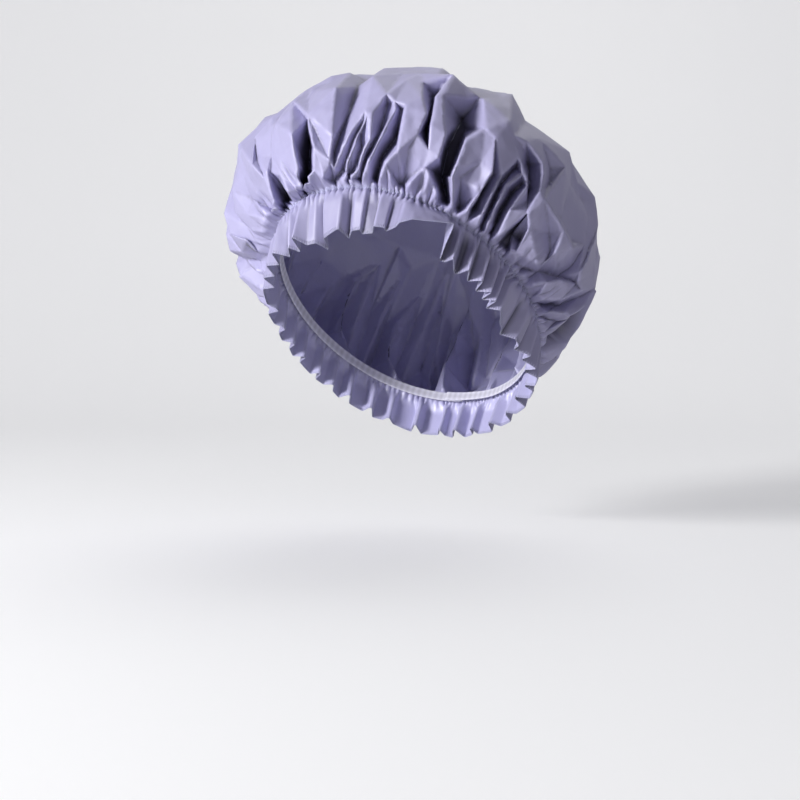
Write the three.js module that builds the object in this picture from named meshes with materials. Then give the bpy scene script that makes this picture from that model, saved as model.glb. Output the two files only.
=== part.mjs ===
// Satin-lined shower cap in its worn shape: +Z up, -Y to the front, +X to the cap's left side.
// The origin is the centre of the elastic opening. Lengths are in millimetres.
import * as THREE from 'three';

// Opening that the elastic grips, measured to the gather line
const opening_half_width = 80;
const opening_half_depth = 100;
const wearing_tilt_degrees = 41;

// Crown, from the gather line to the top
const crown_half_width = 110;
const crown_front_reach = 121;
const crown_rear_reach = 117;
const crown_widest_height = 36;
const crown_side_lean = 8.5;
const crown_top_lean = 3;
const crown_height = 119;
const crown_droop = 3;
const crown_fold_rise = 7;
const crown_fold_depth = 17;

// Ruffle beyond the gather line: it hangs nearer to straight down than the cap's axis, and draws in
const ruffle_length = 25;
const ruffle_hang_degrees = 10;
const ruffle_draw_in = 3;
const ruffle_fold_depth = 5.5;
const ruffle_edge_wander = 5;
const gather_pleat_depth = 2.6;
const crown_pleat_depth = 3.6;

// Sheets and elastic
const vinyl_thickness = 0.6;
const satin_thickness = 0.5;
const layer_gap = 0.3;
const elastic_width = 6;
const elastic_thickness = 1.1;
const elastic_lap = 14;
const gather_margin = 2.5;

// Valleys of the crown's main folds where they leave the gather line, as shares of a full turn,
// from the front towards the cap's left side
const fold_valley_shares = [
  -0.106, -0.061, -0.017, 0.025, 0.067, 0.106, 0.141, 0.177, 0.215, 0.264,
  0.328, 0.389, 0.453, 0.517, 0.581, 0.644, 0.708, 0.772, 0.836,
];
// How far each valley drifts round the crown on its way up, as a share of a full turn
const fold_drift_shares = [
  0.022, 0.028, 0.030, 0.018, 0.000, -0.008, 0.000, 0.003, 0.020, 0.018,
  0.010, 0.002, 0.006, -0.005, 0.002, -0.006, 0.003, 0.006, 0.010,
];
// How deep each valley runs, as a share of crown_fold_depth
const fold_depth_shares = [
  0.75, 1.25, 0.75, 1.00, 0.80, 1.30, 0.80, 0.70, 0.30, 0.35,
  0.90, 1.00, 0.75, 1.00, 0.85, 1.00, 0.85, 0.80, 0.30,
];
// Share of the way from the gather line to the top at which each valley ends
const fold_reach_shares = [
  0.15, 0.25, 0.17, 0.27, 0.33, 0.32, 0.20, 0.17, 0.16, 0.18,
  0.38, 0.45, 0.34, 0.47, 0.36, 0.43, 0.36, 0.30, 0.20,
];
// The first folds lean forwards and to the left, where the others stand square to the crown
const leaning_fold_count = 10;
const fold_lean = new THREE.Vector3(0.42, -0.69, -0.58);
// Rise of the film at the quarters of the way from one valley to the next, as a share of crown_fold_rise
const fold_rise_shares = [0, 0.80, 1.00, 0.80];
// How deep each pleat of the ruffle runs, as a share of ruffle_fold_depth, two to a main fold
const ruffle_depth_shares = [
  1.10, 0.75, 1.00, 1.20, 0.70, 0.90, 0.60, 1.15, 1.25, 0.85, 1.05, 1.20, 0.95,
  0.80, 1.10, 0.95, 1.25, 0.75, 1.00, 1.15, 0.85, 0.95, 1.20, 0.80, 1.05, 0.90,
  1.15, 0.90, 0.75, 1.10, 1.20, 0.85, 1.00, 0.75, 0.90, 0.70, 1.10, 0.80,
];
const columns_per_fold = 4;
const fold_middle_share = 0.5;
const column_count = fold_valley_shares.length * columns_per_fold;

// Rings of the crown, as shares of the way from the gather line to the top, with the share of the full
// valley, of the full lean and of the full pleat depth that each has. From the merge row on every second
// column has ended.
const crown_row_shares = [0.05, 0.13, 0.24, 0.38, 0.56, 0.78];
const crown_valley_row_shares = [0.22, 0.70, 1, 1, 1, 1];
const crown_lean_row_shares = [0, 0.60, 1, 1, 1, 1];
const crown_pleat_row_shares = [0.80, 0.20, 0.05, 0, 0, 0];
const merge_row = 3;
// Rise of the film on the rings below the merge row, as a share of crown_fold_rise
const low_rise_shares = [0.45, 0.95, 1.00];
// Rise at the middle of each main fold on the rings from the merge row on, where it crumples into
// crests and hollows, as a share of crown_fold_rise
const crumple_rise_shares = [
  [
    0.80, 0.80, 0.80, 0.80, 0.80, 0.80, 0.80, 0.80, 0.80, 0.80,
    0.90, 1.05, 0.45, 1.00, 0.70, 1.05, 0.55, 1.00, 0.85,
  ],
  [
    1.00, 0.15, 0.85, 1.05, 0.10, 0.95, 0.30, 1.00, 0.80, 0.05,
    0.95, 0.20, 1.00, 0.85, 0.05, 1.00, 0.15, 0.95, 0.70,
  ],
  [
    0.85, 0.55, 0.15, 0.15, 0.55, 0.95, 0.85, 0.45, 0.10, 0.30,
    0.80, 0.85, 0.45, 0.10, 0.35, 0.85, 0.70, 0.20, 0.40,
  ],
];
const top_rise_share = 0.55;

// Share of the crown's meridian that lies below its widest line, and how squarely the dome turns
const bulge_meridian_share = 0.27;
const bulge_rise_power = 1.25;
const dome_power = 2.3;
// Shares of its reach between which a valley runs out
const valley_full_share = 0.45;
const valley_end_share = 1.2;
// How square to the crown the leaning direction must be before folds lean at all and all the way
const lean_none_facing = 0.15;
const lean_full_facing = 0.55;
const elastic_lap_start_share = 0.5;
// How much deeper a layer's face lies at the sharp corner of a stitched pleat than on its flats
const pleat_corner_share = 1.6;
const ellipse_steps = 96;

const gather_half_height = elastic_width / 2 + gather_margin;
const turn = Math.PI * 2;
const quarter_turn = Math.PI / 2;

function mix(from, to, share) {
  return from + (to - from) * share;
}

// Value of a column from a list with one entry to a fold
function between_folds(column, values) {
  const fold = Math.floor(column / columns_per_fold);
  return mix(values[fold], values[(fold + 1) % values.length], (column % columns_per_fold) / columns_per_fold);
}

// Angle of a column where it leaves the gather line: the columns crowd where the folds are narrow
function column_angle(column) {
  const folds = fold_valley_shares.length;
  const fold = Math.floor(column / columns_per_fold);
  const start = fold_valley_shares[fold];
  const end = fold + 1 < folds ? fold_valley_shares[fold + 1] : 1 + fold_valley_shares[0];
  return turn * mix(start, end, (column % columns_per_fold) / columns_per_fold);
}

// Angle of a column on the crown, where it has drifted along with its valley
function drifted_angle(column, share) {
  const reach = between_folds(column, fold_reach_shares);
  const drift = between_folds(column, fold_drift_shares);
  return column_angle(column) + turn * drift * Math.min(1, share / reach);
}

// Rise of the film between its valleys on a ring
function film_rise(column, row) {
  if (row < merge_row) return crown_fold_rise * low_rise_shares[row];
  const rises = crumple_rise_shares[row - merge_row];
  const folds_along = (column + column_count) / columns_per_fold - fold_middle_share;
  const fold = Math.floor(folds_along) % rises.length;
  return crown_fold_rise * mix(rises[fold], rises[(fold + 1) % rises.length], folds_along % 1);
}

// Height of the film over the smooth crown, below zero in a valley
function fold_height(column, row) {
  const share = crown_row_shares[row];
  const fold = Math.floor(column / columns_per_fold);
  const quarter = column % columns_per_fold;
  const rise = film_rise(column, row);
  const way = share / fold_reach_shares[fold];
  const ended = THREE.MathUtils.smoothstep(way, valley_full_share, valley_end_share);
  const depth = crown_valley_row_shares[row] * (1 - ended);
  if (quarter === 0) return mix(rise, -crown_fold_depth * fold_depth_shares[fold], depth);
  return rise * mix(1, fold_rise_shares[quarter], depth);
}

// Narrow pleats at the stitches, two to each main fold
function pleat_at(column) {
  return column % 2 === 0 ? -1 : 1;
}

function reach_at(angle, front, rear, side) {
  const depth = Math.cos(angle) > 0 ? front : rear;
  return new THREE.Vector2(side * Math.sin(angle), -depth * Math.cos(angle));
}

// Point of the smooth crown, at a share of the way from the gather line to the top
function crown_point(share, angle) {
  const opening = reach_at(angle, opening_half_depth, opening_half_depth, opening_half_width);
  const widest = reach_at(angle, crown_front_reach, crown_rear_reach, crown_half_width);
  widest.x -= crown_side_lean;
  const base = gather_half_height;
  if (share < bulge_meridian_share) {
    const rise = share / bulge_meridian_share;
    const plan = opening.clone().lerp(widest, Math.sin(quarter_turn * rise));
    const height = mix(base, crown_widest_height, Math.pow(rise, bulge_rise_power));
    const droop = crown_droop * Math.pow(Math.sin(Math.PI * rise), 2) * (1 - Math.cos(angle)) / 2;
    return new THREE.Vector3(plan.x, plan.y, height - droop);
  }
  const climb = quarter_turn * (share - bulge_meridian_share) / (1 - bulge_meridian_share);
  const spread = Math.pow(Math.cos(climb), 2 / dome_power);
  const lift = Math.pow(Math.sin(climb), 2 / dome_power);
  return new THREE.Vector3(mix(-crown_top_lean, widest.x, spread), widest.y * spread,
    mix(crown_widest_height, crown_height, lift));
}

// Outward direction square to the smooth crown, from points a small share of a turn and of the way apart
function crown_outward(share, angle) {
  const nudge_share = 1e-3;
  const across = crown_point(share, angle + nudge_share).sub(crown_point(share, angle - nudge_share));
  const up = crown_point(share + nudge_share, angle).sub(crown_point(share - nudge_share, angle));
  return across.cross(up).normalize();
}

// Direction in which a fold stands out, one unit high measured square to the crown
function fold_direction(column, row, angle) {
  const outward = crown_outward(crown_row_shares[row], angle);
  if (column > leaning_fold_count * columns_per_fold) return outward;
  const facing = outward.dot(fold_lean);
  const leaned = fold_lean.clone().divideScalar(Math.max(facing, lean_full_facing));
  const lean = THREE.MathUtils.smoothstep(facing, lean_none_facing, lean_full_facing);
  return outward.lerp(leaned, lean * crown_lean_row_shares[row]);
}

// Ring at the ruffle's edge, or nearer to the stitches
function ruffle_ring(reach_share) {
  return (column) => {
    const angle = column_angle(column);
    const pleat = pleat_at(column);
    const depth_share = ruffle_depth_shares[Math.floor(column / 2)];
    const opening = reach_at(angle, opening_half_depth, opening_half_depth, opening_half_width);
    const outward = new THREE.Vector2(Math.sin(angle), -Math.cos(angle));
    const fold = pleat * mix(gather_pleat_depth, ruffle_fold_depth * depth_share, reach_share);
    const plan = opening.addScaledVector(outward, fold - ruffle_draw_in * reach_share);
    const length = (ruffle_length - ruffle_edge_wander * (depth_share - 1)) * reach_share;
    const hang = THREE.MathUtils.degToRad(ruffle_hang_degrees);
    return new THREE.Vector3(plan.x, plan.y + length * Math.sin(hang),
      -gather_half_height - length * Math.cos(hang));
  };
}

function gather_ring(height) {
  return (column) => {
    const angle = column_angle(column);
    const opening = reach_at(angle, opening_half_depth, opening_half_depth, opening_half_width);
    const outward = new THREE.Vector2(Math.sin(angle), -Math.cos(angle));
    const plan = opening.addScaledVector(outward, gather_pleat_depth * pleat_at(column));
    return new THREE.Vector3(plan.x, plan.y, height);
  };
}

function crown_ring(row) {
  return (column) => {
    const share = crown_row_shares[row];
    const angle = drifted_angle(column, share);
    const pleat = crown_pleat_depth * crown_pleat_row_shares[row] * pleat_at(column);
    return crown_point(share, angle)
      .addScaledVector(fold_direction(column, row, angle), fold_height(column, row))
      .addScaledVector(crown_outward(share, angle), pleat);
  };
}

// The gathered sheet as one surface of points and triangles, open at the ruffle's edge
function gathered_sheet() {
  const rings = [
    { place: ruffle_ring(1), step: 1 },
    { place: gather_ring(-gather_half_height), step: 1 },
    { place: gather_ring(gather_half_height), step: 1 },
    ...crown_row_shares.map((share, row) => ({ place: crown_ring(row), step: row < merge_row ? 1 : 2 })),
  ];
  const points = [];
  for (const ring of rings) {
    ring.first = points.length;
    ring.count = column_count / ring.step;
    for (let i = 0; i < ring.count; i += 1) points.push(ring.place(i * ring.step));
  }
  const triangles = [];
  for (let r = 0; r + 1 < rings.length; r += 1) join_rings(rings[r], rings[r + 1], triangles);
  const last = rings[rings.length - 1];
  const top = points.length;
  points.push(new THREE.Vector3(-crown_top_lean, 0, crown_height + crown_fold_rise * top_rise_share));
  for (let i = 0; i < last.count; i += 1) {
    triangles.push([last.first + i, last.first + (i + 1) % last.count, top]);
  }
  return { points, triangles, edge_count: rings[0].count };
}

// Triangles between two rings that have as many points, or of which the upper has half as many
function join_rings(lower, upper, triangles) {
  const at = (ring, i) => ring.first + (i % ring.count);
  for (let i = 0; i < upper.count; i += 1) {
    if (lower.count === upper.count) {
      triangles.push([at(lower, i), at(lower, i + 1), at(upper, i + 1)]);
      triangles.push([at(lower, i), at(upper, i + 1), at(upper, i)]);
    } else {
      triangles.push([at(lower, 2 * i), at(lower, 2 * i + 1), at(upper, i)]);
      triangles.push([at(lower, 2 * i + 1), at(upper, i + 1), at(upper, i)]);
      triangles.push([at(lower, 2 * i + 1), at(lower, 2 * i + 2), at(upper, i + 1)]);
    }
  }
}

// For each point, the step that moves the faces round it outwards by one unit, limited at sharp folds
function offset_steps(sheet) {
  const longest_step = 2.2;
  const steps = sheet.points.map(() => new THREE.Vector3());
  const faces_round = sheet.points.map(() => []);
  for (const triangle of sheet.triangles) {
    const [a, b, c] = triangle.map((i) => sheet.points[i]);
    const normal = b.clone().sub(a).cross(c.clone().sub(a)).normalize();
    triangle.forEach((i, k) => {
      const corner = sheet.points[i];
      const next = sheet.points[triangle[(k + 1) % 3]].clone().sub(corner);
      const previous = sheet.points[triangle[(k + 2) % 3]].clone().sub(corner);
      steps[i].addScaledVector(normal, next.angleTo(previous));
      faces_round[i].push(normal);
    });
  }
  steps.forEach((step, i) => {
    step.normalize();
    const slant = Math.min(...faces_round[i].map((normal) => normal.dot(step)));
    step.multiplyScalar(Math.min(longest_step, 1 / Math.max(slant, 1 / longest_step)));
  });
  return steps;
}

// A wall between two offsets of the gathered sheet, closed round the ruffle's edge
function sheet_wall(sheet, steps, inner_offset, outer_offset) {
  const count = sheet.points.length;
  const positions = [];
  for (const offset of [outer_offset, inner_offset]) {
    sheet.points.forEach((point, i) => {
      positions.push(...point.clone().addScaledVector(steps[i], offset).toArray());
    });
  }
  const index = [];
  for (const [a, b, c] of sheet.triangles) index.push(a, b, c, count + a, count + c, count + b);
  for (let i = 0; i < sheet.edge_count; i += 1) {
    const next = (i + 1) % sheet.edge_count;
    index.push(next, i, count + i, next, count + i, count + next);
  }
  const geometry = new THREE.BufferGeometry();
  geometry.setAttribute('position', new THREE.Float32BufferAttribute(positions, 3));
  geometry.setIndex(index);
  geometry.computeVertexNormals();
  return geometry;
}

// The elastic is one strip bent to the opening, with its two ends lapped at the back
function elastic_strip(outer_inset) {
  const radius = (opening_half_width + opening_half_depth) / 2;
  const lap_angle = elastic_lap / radius;
  const lap_step = elastic_thickness + layer_gap;
  const start = turn * elastic_lap_start_share - lap_angle / 2;
  const steps = ellipse_steps;
  const edge = (inset, i) => {
    const angle = start + (turn + lap_angle) * i / steps;
    const lapped = THREE.MathUtils.smoothstep(angle - start, turn - 2 * lap_angle, turn - lap_angle / 4);
    const depth = inset + lap_step * lapped;
    const plan = reach_at(angle, opening_half_depth - depth, opening_half_depth - depth,
      opening_half_width - depth);
    return plan;
  };
  const outer = [];
  const inner = [];
  for (let i = 0; i <= steps; i += 1) {
    outer.push(edge(outer_inset, i));
    inner.push(edge(outer_inset + elastic_thickness, i));
  }
  const shape = new THREE.Shape([...outer, ...inner.reverse()]);
  const geometry = new THREE.ExtrudeGeometry(shape, { depth: elastic_width, bevelEnabled: false });
  geometry.translate(0, 0, -elastic_width / 2);
  return geometry;
}

function named_mesh(name, geometry, colour, roughness) {
  const material = new THREE.MeshStandardMaterial({ color: colour, roughness, metalness: 0 });
  const mesh = new THREE.Mesh(geometry, material);
  mesh.name = name;
  return mesh;
}

const sheet = gathered_sheet();
const steps = offset_steps(sheet);
const half_gap = layer_gap / 2;
const lining_inset = gather_pleat_depth + pleat_corner_share * (half_gap + satin_thickness);

const cap = new THREE.Group();
cap.rotation.x = -THREE.MathUtils.degToRad(wearing_tilt_degrees);
cap.add(named_mesh('outer_shell',
  sheet_wall(sheet, steps, half_gap, half_gap + vinyl_thickness), 0x9f9ccb, 0.42));
cap.add(named_mesh('satin_lining',
  sheet_wall(sheet, steps, -half_gap - satin_thickness, -half_gap), 0xa9addb, 0.3));
cap.add(named_mesh('elastic_band', elastic_strip(lining_inset + layer_gap), 0xd9d8e6, 0.8));

const part = new THREE.Group();
part.add(cap);
export default part;
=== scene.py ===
import math

import bmesh
import bpy
import numpy as np
from mathutils import Matrix, Quaternion, Vector
from mathutils.geometry import delaunay_2d_cdt
from mathutils.kdtree import KDTree


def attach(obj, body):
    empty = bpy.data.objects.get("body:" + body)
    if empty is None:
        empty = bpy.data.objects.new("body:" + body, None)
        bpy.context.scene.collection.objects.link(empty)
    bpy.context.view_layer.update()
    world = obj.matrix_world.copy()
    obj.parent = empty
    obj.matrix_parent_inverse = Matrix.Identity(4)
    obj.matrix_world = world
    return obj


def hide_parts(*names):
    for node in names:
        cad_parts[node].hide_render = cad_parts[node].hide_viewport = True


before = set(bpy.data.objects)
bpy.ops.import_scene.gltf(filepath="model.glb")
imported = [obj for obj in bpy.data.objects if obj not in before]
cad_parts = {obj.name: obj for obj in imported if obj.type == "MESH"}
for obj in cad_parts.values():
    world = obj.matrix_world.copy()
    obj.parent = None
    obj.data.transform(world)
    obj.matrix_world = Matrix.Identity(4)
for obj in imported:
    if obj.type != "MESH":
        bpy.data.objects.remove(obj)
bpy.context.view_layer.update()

bl_info = {
    "name": "Satin-lined shower cap",
    "version": (1, 0, 0),
    "blender": (4, 5, 0),
    "location": "View3D > Sidebar > Shower cap",
    "description": "Gathers two flat rounds of sheet on an elastic and sews them into a shower cap",
    "category": "Add Mesh",
}

TURN = 2 * math.pi
MM = 0.001

# Main folds of the crown at the front: each line runs through points of (degrees round the opening
# from the front to the cap's left, mm above the gather, mm outwards)
FRONT_FOLDS = (
    ((-45, 59, 8), (-37.7, 37, 7), (-34.5, 23, 6)), ((-53.7, 42, 4), (-46.7, 24, -3), (-42, 7, -3)),
    ((-30.7, 24, 3), (-29.5, 14, -8), (-32.8, 3, -14), (-38.2, 0, -10)),
    ((-31.7, 25, 6), (-37.2, 10, 7), (-43.8, 0, 5)), ((-26.5, 18, 6), (-28, 2, 8), (-30.2, 0, 4)),
    ((-22.2, 67, 5), (-16.8, 36, 9), (-18, 17, 9), (-23.3, 0, 6)),
    ((-12.3, 47, -4), (-11.2, 29, -20), (-14.7, 14, -24), (-22.2, 0, -16)),
    ((-23.8, 87, 2), (-11.8, 47, 7), (-9, 24, 9), (-12.5, 11, 8), (-21.5, 0, 5)),
    ((-6.2, 68, 9), (-2, 29, 8), (-4.5, 15, 7), (-9.5, 5, 5)),
    ((-5, 101, -4), (-0.5, 74, -6), (2, 46, -5), (-2, 21, -4)),
    ((3.3, 80, 6), (7.3, 45, 6), (2.8, 26, 5), (-3.5, 10, 4)),
    ((6.2, 32, -2), (2.5, 17, -4), (-1.7, 8, -6), (-7, 1, -6)), ((8.5, 42, 6), (5.3, 22, 6), (-1.5, 2, 4)),
    ((7.3, 32, -1), (7.8, 22, -4), (3.5, 9, -5), (-0.5, 1, -5)),
    ((9.8, 44, 6), (10.5, 27, 6), (5.5, 9, 6), (1.7, 0, 4)),
    ((12.7, 55, -1), (13.3, 34, -6), (9.8, 19, -8), (5.3, 5, -8)),
    ((15.8, 50, 5), (14.3, 32, 6), (10.7, 16, 6), (6, 0, 4)),
    ((17.5, 52, -3), (18.3, 32, -12), (14.7, 19, -13), (11.3, 4, -11)),
    ((11.3, 61, 7), (14.7, 56, 6), (18.3, 54, 8), (19.5, 23, 9), (15.8, 14, 8), (13.3, 4, 5)),
    ((29, 19, 2), (22.5, 7, -6), (20.8, 4, -8)), ((21.5, 65, 8), (24.8, 52, 9), (24.2, 36, 7), (28.5, 29, 6)),
    ((24.5, 70, -6), (26, 47, -15), (27.5, 35, -12), (28.7, 29, -2)),
    ((27, 93, 13), (25.3, 70, 9), (27, 45, 9), (28.7, 29, 7)),
    ((27, 93, 13), (27, 73, 9), (29.3, 55, 9), (31.8, 42, 9), (31.8, 27, 8), (23.8, 4, 5)),
    ((34.5, 62, -12), (33.6, 40, -24), (34.3, 20, -26), (38.3, 8, -18)),
    ((36.6, 56, -12), (36.2, 40, -20), (36.2, 22, -20)),
    ((41.8, 60, 9), (37.7, 45, 8), (37.7, 27, 10), (37.7, 19, 9), (40.8, 6, 5)),
    ((27, 73, 9), (37.2, 88, 6), (43.3, 97, 7)), ((38.5, 88, 8), (42.8, 61, 10)),
    ((47.3, 113, 10), (48.5, 82, 11), (45.5, 58, 10), (48, 35, 11), (47.3, 20, 8), (46.2, 8, 5)),
    ((40, 22, 2), (43.5, 6, -10)), ((48.5, 35, -6), (47.5, 23, -15), (47.8, 13, -14)),
    ((53.9, 56, 7), (50.7, 37, 7), (50.7, 22, 7), (51.3, 10, 5)),
    ((54.1, 51, -6), (51.9, 33, -12), (52.4, 20, -14), (53.3, 8, -12)),
    ((56.7, 48, 7), (53.4, 34, 7), (53.6, 22, 7), (55, 8, 5)),
    ((58.2, 45, -6), (56.1, 34, -13), (55.8, 20, -15), (57.3, 7, -12)), ((59.5, 42, 8), (58, 23, 6), (59.7, 8, 4)),
    ((51.7, 63, 8), (55, 55, 7), (58.8, 46, 8), (63, 29, 7), (60, 6, 4)),
    ((54.8, 65, 4), (58, 60, -7), (60.5, 45, -8), (61.5, 35, 0)),
    ((55.3, 74, 9), (62.2, 68, 9), (63.2, 61, 9), (63.8, 47, 8), (63.8, 29, 8), (68, 6, 4)),
    ((50.8, 70, 9), (59.3, 86, 9), (73.3, 103, 8)),
    ((60.5, 85, 9), (70.8, 83, 9), (66.2, 45, 9), (66.5, 24, 7), (69.3, 8, 4)), ((65.7, 72, 2), (66.8, 62, 1)),
    ((66.2, 45, 9), (77.3, 42, 9), (83.3, 40, 8)), ((63.5, 27, -10), (63, 19, -13), (62.5, 7, -9)),
    ((67, 17, -10), (65.5, 7, -10)), ((67.2, 24, 6), (77, 14, 8)), ((77, 14, 8), (79.2, 27, 8), (83.3, 40, 8)),
    ((77.3, 42, 6), (77.3, 26, 2), (78.3, 15, 2)), ((88.2, 92, 8), (91.3, 75, 8), (92.3, 37, 8)),
    ((83, 44, 2), (74.5, 47, 2)), ((91.3, 75, 9), (92, 56, 9), (92.5, 41, 9), (94.8, 34, 8)),
    ((74.5, 4, -5), (79.5, 12, -5), (87, 22, -4), (94.8, 33, 4)),
    ((83.5, 0, 7), (85.2, 12, 8), (88.8, 22, 8), (93, 24, 7)), ((89.5, 0, 5), (95, 17, 7), (99, 35, 8)),
    ((92.3, 0, -6), (97, 16, -4), (101.3, 34, 0)), ((96.3, 0, 5), (101.3, 17, 7), (105.3, 35, 8)),
    ((99.2, 0, -6), (104.3, 13, -5), (106.5, 21, 0)), ((104.5, 21, 9), (119.7, 23, 9)),
    ((-45, 12, 4), (-47.2, 3, 7), (-54.5, 4, 5)), ((-65.8, 21, 7), (-66.8, 17, 2)),
    ((-85.2, 43, 7), (-73.7, 14, -2)), ((-89.8, 42, 7), (-79.2, 18, 5)),
)
# Tucks round the rest of the crown: degrees round the opening, drift in degrees, reach in mm, mm outwards
REAR_TUCKS = (
    (118, 3.6, 82, -15), (140, 0.7, 97, -17), (163, 2.2, 73, -13), (186, -1.8, 101, -17), (209, 0.7, 78, -15),
    (232, -2.2, 93, -17), (255, 1.0, 78, -15), (278, 2.2, 65, -14),
)
# Crests and hollows where the crown crumples above its main folds: their degrees round the opening, and for
# each height in mm above the gather the first of those that it uses and the mm outwards from there on
CRUMPLE_DEGREES = (
    -21.1, -3.6, 10.1, 19.8, 29.7, 43, 57.8, 74.7, 93.1, 111.6, 131.2, 153, 174.8, 197.1, 219.8, 242.8, 268, 292.3,
    317.2,
)
CRUMPLES = (
    (82, 10, (6.3, 7.4, 3.1, 7, 4.9, 7.4, 3.9, 7, 6)),
    (121, 0, (7.5, 1.6, 6.5, 7.9, 1.2, 7.1, 2.6, 7.5, 6.1, 0.9, 7.1, 1.9, 7.5, 6.5, 0.9, 7.5, 1.6, 7.1, 5.4)),
    (168, 0, (6, 3.9, 1.1, 1.1, 3.9, 6.6, 6, 3.1, 0.7, 2.1, 5.6, 6, 3.1, 0.7, 2.4, 6, 4.9, 1.4, 2.8)),
)
# Knife pleats of the ruffle at the front: degrees round the opening, and how far out as a share
RUFFLE_PLEATS = (
    (-58, 1.0), (-54, -0.8), (-50, 0.9), (-45.5, -0.9), (-41, 1.0), (-36, -1.0), (-31, 1.1), (-27.5, -0.9),
    (-24, 0.8), (-20.5, -0.3), (-16, 0.3), (-12.8, -1.2), (-11, 0.9), (-2, 0.8), (0.8, -1.3), (3.4, 0.4),
    (7.6, 0.5), (8.4, -0.6), (13.4, -0.8), (14.2, 0.7), (18.4, 0.2), (19.2, -0.7), (23, -0.2), (24, 0.6),
    (32, 0.7), (40.5, 1.2), (41.7, -1.6), (45, -0.8), (46.5, 1.0), (50.5, -1.4), (52, -1.5), (53.5, 1.2),
    (57, -1.2), (60, 1.3), (62.5, -1.4), (65.5, 1.3), (67, -1.3), (69.5, 1.2), (71.5, -1.4), (74, 1.1),
    (82, 0.2), (86, -1.1), (89, 0.9), (93, 0.4), (95.5, -1.1), (99, 0.9), (102, -1.0), (106, 1.1),
)
# How the ruffle's edge hangs: degrees round the opening, mm outwards, mm longer
RUFFLE_HANG = (
    (-70, 0, 0), (-40, 0, 1), (-29, -6, 3), (-24, 1, 3), (-20, -4, 4), (-13, -10, 4), (-9, -8, 3), (-2, -4, 1),
    (3, -6, 0), (6, -5, 0), (12, -1, 0), (20, 4, 0), (28, 12, 0), (36, 16, 1), (41, 19, 2), (43, 1, 0),
    (47, 0, 0), (60, 0, 0), (72, -3, 1), (80, -7, 3), (90, -4, 2), (100, 1, 0), (112, 3, 0), (130, 0, 0),
)


def eased(start, end, value):
    """0 before start, 1 after end, and smooth in between."""
    share = np.clip((value - start) / (end - start), 0, 1)
    return share * share * (3 - 2 * share)


def mix(start, end, share):
    """A value between two values."""
    return start + (end - start) * share


def lengths(vectors):
    """The length of each row of an array of vectors."""
    return np.sqrt(np.einsum("...i,...i->...", vectors, vectors))


def share_round(flat):
    """How far round the flat sheet each point is, as a share of the turn from the front."""
    return (np.arctan2(flat[:, 0], -flat[:, 1]) / TURN) % 1


def length_property(name, description, default, **limits):
    """A property that holds a length in metres."""
    return bpy.props.FloatProperty(name=name, description=description, default=default, unit="LENGTH", **limits)


def angle_property(name, description, degrees):
    """A property that holds an angle."""
    return bpy.props.FloatProperty(
        name=name, description=description, default=math.radians(degrees), subtype="ANGLE")


def power_property(name, description, default):
    """A property that holds a lamp's power in watts."""
    return bpy.props.FloatProperty(name=name, description=description, default=default, unit="POWER")


def colour_property(name, description, default):
    """A property that holds a colour."""
    return bpy.props.FloatVectorProperty(
        name=name, description=description, default=default, subtype="COLOR", size=3, min=0, max=1)


class CapShape(bpy.types.PropertyGroup):
    """Sizes of the two flat rounds, and of the cap that they are gathered into"""

    cut_radius: length_property(
        "Cut radius", "Radius that both sheets are cut to, out to the ruffle's edge", 0.241, min=0.15, max=0.4)
    gather_radius: length_property(
        "Gather radius", "Radius on the flat sheets at which the elastic is sewn", 0.216, min=0.12, max=0.38)
    opening_half_width: length_property(
        "Opening half width", "From the cap's middle to the gather line at the sides", 0.080)
    opening_half_depth: length_property(
        "Opening half depth", "From the cap's middle to the gather line at the front", 0.100)
    wearing_tilt: angle_property("Wearing tilt", "How far the opening leans back, high at the front", 41)
    crown_half_width: length_property("Crown half width", "Half the crown's width between its folds", 0.110)
    crown_front_reach: length_property("Front reach", "How far the crown stands out at the front", 0.121)
    crown_rear_reach: length_property("Rear reach", "How far the crown stands out at the back", 0.117)
    crown_widest_height: length_property(
        "Widest height", "Height of the crown's widest line above the opening", 0.036)
    crown_height: length_property("Crown height", "Height of the crown's top above the opening", 0.119)
    crown_droop: length_property("Crown droop", "How far the crown sags over the elastic at the back", 0.003)
    crown_side_lean: length_property(
        "Side lean", "How far the crown's widest line leans to its right", 0.0085)
    crown_top_lean: length_property("Top lean", "How far the crown's top leans to its right", 0.003)
    dome_power: bpy.props.FloatProperty(
        name="Dome fullness", description="How squarely the crown turns over at the top, 2 for an ellipse",
        default=2.3, min=1.5, max=4)
    pucker_count: bpy.props.IntProperty(
        name="Puckers", description="Puckers that the stitches hold round the whole gather",
        default=148, min=20, max=240)
    ruffle_hang: angle_property(
        "Ruffle hang", "How far the ruffle hangs out of the opening's axis, towards the back", 10)
    ruffle_draw_in: length_property("Ruffle draw-in", "How far the ruffle's edge draws in", 0.003)
    elastic_width: length_property("Elastic width", "Width of the elastic strip", 0.006)
    elastic_thickness: length_property("Elastic thickness", "Thickness of the elastic strip", 0.0010)
    thread_width: length_property("Thread width", "Diameter of the sewing thread", 0.00036)


class FilmHandling(bpy.types.PropertyGroup):
    """How finely the sheet is divided, and its smaller folds"""

    points_round: bpy.props.IntProperty(
        name="Points round", description="Points round the gather line", default=860, min=100, max=1200)
    fold_seed: bpy.props.IntProperty(
        name="Fold seed", description="Start of the random numbers for the smaller folds", default=11)


class CapFinish(bpy.types.PropertyGroup):
    """Colours of the cap"""

    vinyl: colour_property("Vinyl", "Colour of the outer film", (0.405, 0.386, 0.592))
    satin: colour_property("Satin", "Colour of the lining", (0.48, 0.465, 0.70))
    elastic: colour_property("Elastic", "Colour of the elastic", (0.69, 0.68, 0.79))
    thread: colour_property("Thread", "Colour of the sewing thread", (0.60, 0.60, 0.84))


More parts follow.
